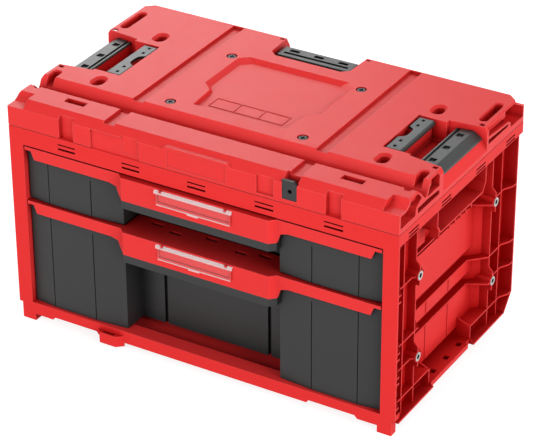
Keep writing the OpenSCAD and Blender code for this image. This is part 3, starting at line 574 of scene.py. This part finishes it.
def block(low: Vector, high: Vector, tilt: float = 0.0) -> bpy.types.Object:
    """Adds a block by its corners.

    Args:
        low: its lowest corner.
        high: its highest corner.
        tilt: degrees it is turned about its long middle line, left to right.

    Returns:
        The block.
    """
    bpy.ops.mesh.primitive_cube_add(size=1.0, location=(low + high) / 2.0,
                                    rotation=(math.radians(tilt), 0.0, 0.0))
    shape = bpy.context.object
    shape.scale = [abs(v) for v in high - low]
    return shape


def disc(x: float, y: float, heights: tuple[float, float], radius: float) -> bpy.types.Object:
    """Adds an upright round block.

    Args:
        x: millimetres to the right of the middle.
        y: millimetres behind the face of the front frame.
        heights: its underside and its top, in millimetres above the ground.
        radius: in millimetres.

    Returns:
        The block.
    """
    bpy.ops.mesh.primitive_cylinder_add(vertices=ROUND_SIDES, radius=radius * MM,
                                        depth=(heights[1] - heights[0]) * MM,
                                        location=at(x, y, sum(heights) / 2.0))
    return bpy.context.object


def pick_alone(shapes: Sequence[bpy.types.Object]) -> None:
    """Selects shapes and nothing else, and makes the first of them active.

    Args:
        shapes: the shapes.
    """
    bpy.ops.object.select_all(action="DESELECT")
    for shape in shapes:
        shape.select_set(True)
    bpy.context.view_layer.objects.active = shapes[0]


def joined(shapes: Sequence[bpy.types.Object]) -> bpy.types.Object:
    """Joins shapes into the first of them and brings its origin to the frame's.

    Args:
        shapes: the shapes.

    Returns:
        The one shape.
    """
    pick_alone(shapes)
    bpy.ops.object.join()
    bpy.ops.object.transform_apply(location=True, rotation=True, scale=True)
    return bpy.context.object


def carve(piece: bpy.types.Object, cutters: Sequence[bpy.types.Object]) -> None:
    """Takes shapes away from a piece, one after the other, and removes them.

    Args:
        piece: what is cut.
        cutters: the shapes that are taken away.
    """
    pick_alone([piece])
    for cutter in cutters:
        cut = piece.modifiers.new("cut", "BOOLEAN")
        cut.operation = "DIFFERENCE"
        cut.solver = "EXACT"
        cut.object = cutter
        bpy.ops.object.modifier_apply(modifier=cut.name)
        bpy.data.objects.remove(cutter)


@dataclass(frozen=True)
class Recut:
    """A copy of a CAD node with more of its fine shape cut in, which stands for the node."""

    node: str
    name: str
    slot: Slot
    body: str = "cabinet"

    def cutters(self) -> list[bpy.types.Object]:
        """Makes the shapes that are taken away.

        Returns:
            The shapes, none of which overlaps another within one object.
        """
        return []

    def build(self, finish: bpy.types.Material) -> bpy.types.Object:
        """Makes the piece.

        Args:
            finish: its material.

        Returns:
            The piece, riding on the node's body.
        """
        bpy.ops.object.select_all(action="DESELECT")
        cutters = self.cutters()
        source = frame["nodes"][self.node]
        piece = source.copy()
        piece.data = source.data.copy()
        piece.name = self.name
        bpy.context.scene.collection.objects.link(piece)
        pick_alone([piece])
        bpy.ops.object.mode_set(mode="EDIT")
        bpy.ops.mesh.select_all(action="SELECT")
        bpy.ops.mesh.remove_doubles(threshold=MERGE_M)
        bpy.ops.object.mode_set(mode="OBJECT")
        carve(piece, cutters)
        bpy.ops.object.shade_flat()
        piece.data.materials.clear()
        piece.data.materials.append(finish)
        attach(piece, self.body)
        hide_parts(self.node)
        return piece


@dataclass(frozen=True)
class CornerCells(Recut):
    """The housing, with the cells behind its front corners opened down to their ribs."""

    rib_heights: tuple[float, ...] = (206.0, 122.0, 86.0, 39.5)
    belt_underside: float = 276.5
    half_rib: float = 1.1
    short_rib: tuple[float, float] = (8.3, 10.7)
    across: tuple[float, float] = (285.3, 289.0)
    along: tuple[float, float] = (2.6, 9.3)

    def windows(self) -> list[tuple[float, float]]:
        """Lists the openings between the ribs.

        Returns:
            Lowest and highest edge of each opening, in millimetres.
        """
        openings = []
        above = self.belt_underside
        for height in self.rib_heights:
            openings.append((height + self.half_rib, above))
            openings.append((height - self.short_rib[0], height - self.half_rib))
            above = height - self.short_rib[1]
        return openings

    def cutters(self) -> list[bpy.types.Object]:
        """Makes the shapes that are taken away.

        Returns:
            All the cells' blocks in one object.
        """
        return [joined([block(at(side * self.across[0], self.along[0], low),
                              at(side * self.across[1], self.along[1], high))
                        for side in (-1.0, 1.0) for low, high in self.windows()])]


@dataclass(frozen=True)
class ScrewSeats(Recut):
    """The stacking cover, with the full width of the screws' seats in its deck."""

    across: float = 98.5
    along: tuple[float, float] = (97.0, 249.5)
    radius: float = 7.4
    heights: tuple[float, float] = (330.4, 335.0)

    def cutters(self) -> list[bpy.types.Object]:
        """Makes the shapes that are taken away.

        Returns:
            The four seats in one object.
        """
        return [joined([disc(x, y, self.heights, self.radius)
                        for x in (-self.across, self.across) for y in self.along])]


@dataclass(frozen=True)
class GroovedPlate(Recut):
    """The rear catch plate, with its long groove and a bevelled front edge set further back."""

    half_length: float = 49.0
    groove: tuple[float, float] = (300.8, 305.4)
    depth: float = 3.0
    top: float = 328.0
    edge: float = 293.0
    chamfer: float = 2.0
    cutter_half: float = 60.0
    cutter_front: float = 285.0
    cutter_foot: float = 318.0

    def cutters(self) -> list[bpy.types.Object]:
        """Makes the shapes that are taken away.

        Returns:
            The groove, the strip in front of the edge and the edge's slope.
        """
        half, wide, above = self.chamfer / 2.0, self.cutter_half, self.top + PAST_FACE
        return [block(at(-self.half_length, self.groove[0], self.top - self.depth),
                      at(self.half_length, self.groove[1], above)),
                block(at(-wide, self.cutter_front, self.cutter_foot), at(wide, self.edge, above)),
                block(at(-wide, self.edge - half, self.top - half),
                      at(wide, self.edge + half, self.top + half), 45.0)]


@dataclass(frozen=True)
class ShelfSlots(Recut):
    """A drawer's front, with the full row of slots in the shelf behind its handle."""

    top: float = 186.6
    half_length: float = 8.8
    half_width: float = 3.0
    depth: float = 5.0
    middles: tuple[tuple[float, float], ...] = ((-81.5, 32.5), (-49.5, 25.0), (0.0, 35.0),
                                                (49.5, 25.0), (81.5, 32.5))

    def cutters(self) -> list[bpy.types.Object]:
        """Makes the shapes that are taken away.

        Returns:
            The five slots in one object.
        """
        return [joined([block(at(x - self.half_length, y - self.half_width, self.top - self.depth),
                              at(x + self.half_length, y + self.half_width, self.top + PAST_FACE))
                        for x, y in self.middles])]


@dataclass(frozen=True)
class CoverScrews:
    """Pan-head screws with a cross recess, sunk in the seats of the deck."""

    seats: ScrewSeats
    radius: float = 5.9
    height: float = 1.9
    edge: float = 0.6
    arm_length: float = 6.8
    arm_width: float = 2.2
    arm_depth: float = 1.7

    def head(self) -> bpy.types.Object:
        """Models one head in the first seat.

        Returns:
            The head.
        """
        x, y, floor = -self.seats.across, self.seats.along[0], self.seats.heights[0]
        top = floor + self.height
        bpy.ops.object.select_all(action="DESELECT")
        head = joined([disc(x, y, (floor, top), self.radius)])
        rim = head.modifiers.new("rim", "BEVEL")
        rim.width = self.edge * MM
        rim.segments = 3
        rim.limit_method = "ANGLE"
        bpy.ops.object.modifier_apply(modifier=rim.name)
        long, wide = self.arm_length / 2.0, self.arm_width / 2.0
        carve(head, [block(at(x - a, y - b, top - self.arm_depth), at(x + a, y + b, top + PAST_FACE))
                     for a, b in ((long, wide), (wide, long))])
        return head

    def build(self, finish: bpy.types.Material) -> bpy.types.Object:
        """Makes the four heads.

        Args:
            finish: the screws' material.

        Returns:
            The heads in one piece, riding on the cabinet.
        """
        first = self.head()
        heads = [first]
        for x in (0.0, 2.0 * self.seats.across):
            for y in (0.0, self.seats.along[1] - self.seats.along[0]):
                if x or y:
                    other = first.copy()
                    other.data = first.data.copy()
                    other.data.transform(Matrix.Translation(Vector((x, y, 0.0)) * MM))
                    bpy.context.scene.collection.objects.link(other)
                    heads.append(other)
        piece = joined(heads)
        piece.name = "cover_screw_heads"
        piece.data.materials.append(finish)
        bpy.ops.object.shade_flat()
        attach(piece, "cabinet")
        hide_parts("cover_screws")
        return piece


# ------------------------------------------------------------------ studio


def background_rays(tree: bpy.types.NodeTree) -> bpy.types.NodeSocket:
    """Finds the rays that show the background: camera, mirror-like and see-through ones.

    Args:
        tree: the node tree of the floor's material or the world.

    Returns:
        A socket that is 1 for those rays.
    """
    path = tree.nodes.new("ShaderNodeLightPath")
    total = path.outputs["Is Camera Ray"]
    for name in ("Is Glossy Ray", "Is Transmission Ray"):
        node = tree.nodes.new("ShaderNodeMath")
        node.operation = "MAXIMUM"
        tree.links.new(total, node.inputs[0])
        tree.links.new(path.outputs[name], node.inputs[1])
        total = node.outputs[0]
    return total


@dataclass(frozen=True)
class Lamp:
    """A soft square lamp that faces the box."""

    name: str
    place: tuple[float, float, float]
    power: float
    size: float = 2.0
    aim: tuple[float, float, float] = (0.0, 0.0, 0.15)

    def hang(self) -> bpy.types.Object:
        """Hangs the lamp.

        Returns:
            The lamp.
        """
        data = bpy.data.lights.new(self.name, "AREA")
        data.size = self.size
        data.energy = self.power
        lamp = bpy.data.objects.new(self.name, data)
        bpy.context.scene.collection.objects.link(lamp)
        lamp.location = self.place
        sight = Vector(self.aim) - Vector(self.place)
        lamp.rotation_euler = sight.to_track_quat("-Z", "Y").to_euler()
        return lamp


@dataclass
class Studio:
    """Plain floor, soft lamps and the camera at the photograph's angle."""

    focal_px: float = 2471.1
    image_px: tuple[int, int] = (533, 442)
    sensor_mm: float = 36.0
    azimuth: float = 30.81
    elevation: float = 30.03
    roll: float = -0.36
    distance: float = 3.29745
    aim: Vector = Vector((0.0, 0.013, 0.150))
    shift: tuple[float, float] = (0.00416, 0.00737)
    floor_size: float = 24.0
    floor_grey: Colour = (0.42, 0.42, 0.42)
    floor_glow: float = 0.8
    surround: float = 0.30
    lamps: tuple[Lamp, ...] = (
        Lamp("key", (3.0, -0.9, 0.9), 72.0),
        Lamp("fill", (-0.8, -3.2, 0.95), 67.0),
        Lamp("back", (-2.0, 2.1, 1.9), 54.0),
        Lamp("top", (0.3, 1.6, 2.8), 16.0),
    )

    def camera(self) -> bpy.types.Object:
        """Places the camera.

        Returns:
            The scene's camera.
        """
        az, el, roll = (math.radians(v) for v in (self.azimuth, self.elevation, self.roll))
        back = Vector((math.sin(az) * math.cos(el), -math.cos(az) * math.cos(el), math.sin(el)))
        level = Vector((math.cos(az), math.sin(az), 0.0))
        rise = back.cross(level)
        right = math.cos(roll) * level + math.sin(roll) * rise
        up = -math.sin(roll) * level + math.cos(roll) * rise
        place = self.aim - self.shift[0] * right - self.shift[1] * up + self.distance * back
        data = bpy.data.cameras.new("photo camera")
        data.sensor_width = self.sensor_mm
        data.sensor_fit = "HORIZONTAL"
        data.lens = self.focal_px * data.sensor_width / self.image_px[0]
        data.clip_end = 30.0
        camera = bpy.data.objects.new("photo camera", data)
        bpy.context.scene.collection.objects.link(camera)
        turn = Matrix((right, up, back)).transposed().to_4x4()
        camera.matrix_world = Matrix.Translation(place) @ turn
        bpy.context.scene.camera = camera
        return camera

    def floor(self) -> bpy.types.Object:
        """Lays a wide pale floor that keeps the box's shadow.

        Returns:
            The floor.
        """
        bpy.ops.object.select_all(action="DESELECT")
        bpy.ops.mesh.primitive_plane_add(size=self.floor_size, location=(0.0, 0.0, 0.0))
        floor = bpy.context.object
        floor.name = "floor"
        sheet = NodeSheet.named("pale floor")
        sheet.shader.inputs["Base Color"].default_value = tinted(self.floor_grey)
        sheet.shader.inputs["Roughness"].default_value = 0.9
        glow = sheet.add("ShaderNodeEmission", Strength=self.floor_glow)
        both = sheet.add("ShaderNodeAddShader")
        pick = sheet.add("ShaderNodeMixShader")
        output = sheet.tree.nodes["Material Output"]
        sheet.join(sheet.shader.outputs[0], both.inputs[0])
        sheet.join(glow.outputs[0], both.inputs[1])
        sheet.join(background_rays(sheet.tree), pick.inputs[0])
        sheet.join(sheet.shader.outputs[0], pick.inputs[1])
        sheet.join(both.outputs[0], pick.inputs[2])
        sheet.join(pick.outputs[0], output.inputs["Surface"])
        floor.data.materials.append(sheet.material)
        return floor

    def world(self) -> None:
        """Sets a soft pale surround, white where the camera sees it."""
        world = bpy.data.worlds.new("studio")
        world.use_nodes = True
        bpy.context.scene.world = world
        tree = world.node_tree
        soft = tree.nodes["Background"]
        soft.inputs["Color"].default_value = (1.0, 1.0, 1.0, 1.0)
        soft.inputs["Strength"].default_value = self.surround
        white = tree.nodes.new("ShaderNodeBackground")
        white.inputs["Strength"].default_value = 1.0
        pick = tree.nodes.new("ShaderNodeMixShader")
        tree.links.new(background_rays(tree), pick.inputs[0])
        tree.links.new(soft.outputs[0], pick.inputs[1])
        tree.links.new(white.outputs[0], pick.inputs[2])
        tree.links.new(pick.outputs[0], tree.nodes["World Output"].inputs["Surface"])

    def build(self) -> None:
        """Sets up the whole studio."""
        self.camera()
        self.floor()
        self.world()
        for lamp in self.lamps:
            lamp.hang()
        bpy.context.scene.view_settings.view_transform = "Standard"


def main() -> None:
    """Builds the dressed tool box and its studio."""
    logging.basicConfig(level=logging.INFO, format="%(name)s: %(message)s")
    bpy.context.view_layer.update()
    materials = {slot: finish.build() for slot, finish in FINISHES.items()}
    own = {name: finish.build() for name, finish in OWN_FINISHES.items()}
    LOG.info("dressed %d nodes", CadDress(materials, own).dress())
    shell = CornerCells("housing", "housing_with_cells", Slot.RED)
    cover = ScrewSeats("top_cover", "cover_with_screw_seats", Slot.RED)
    plate = GroovedPlate("rear_catch", "rear_catch_plate", Slot.GREY)
    upper = ShelfSlots("upper_bezel", "upper_front_with_slots", Slot.RED, "upper_drawer", 267.3)
    lower = ShelfSlots("lower_bezel", "lower_front_with_slots", Slot.RED, "lower_drawer", 186.6)
    pieces = [shell.build(own["housing"]), cover.build(own["top_cover"]),
              plate.build(own["rear_catch"]), upper.build(materials[Slot.RED]),
              lower.build(materials[Slot.RED]), CoverScrews(cover).build(materials[Slot.SCREW])]
    for piece in pieces:
        LOG.info("%s has %d faces", piece.name, len(piece.data.polygons))
    Studio().build()


if __name__ == "__main__":
    main()
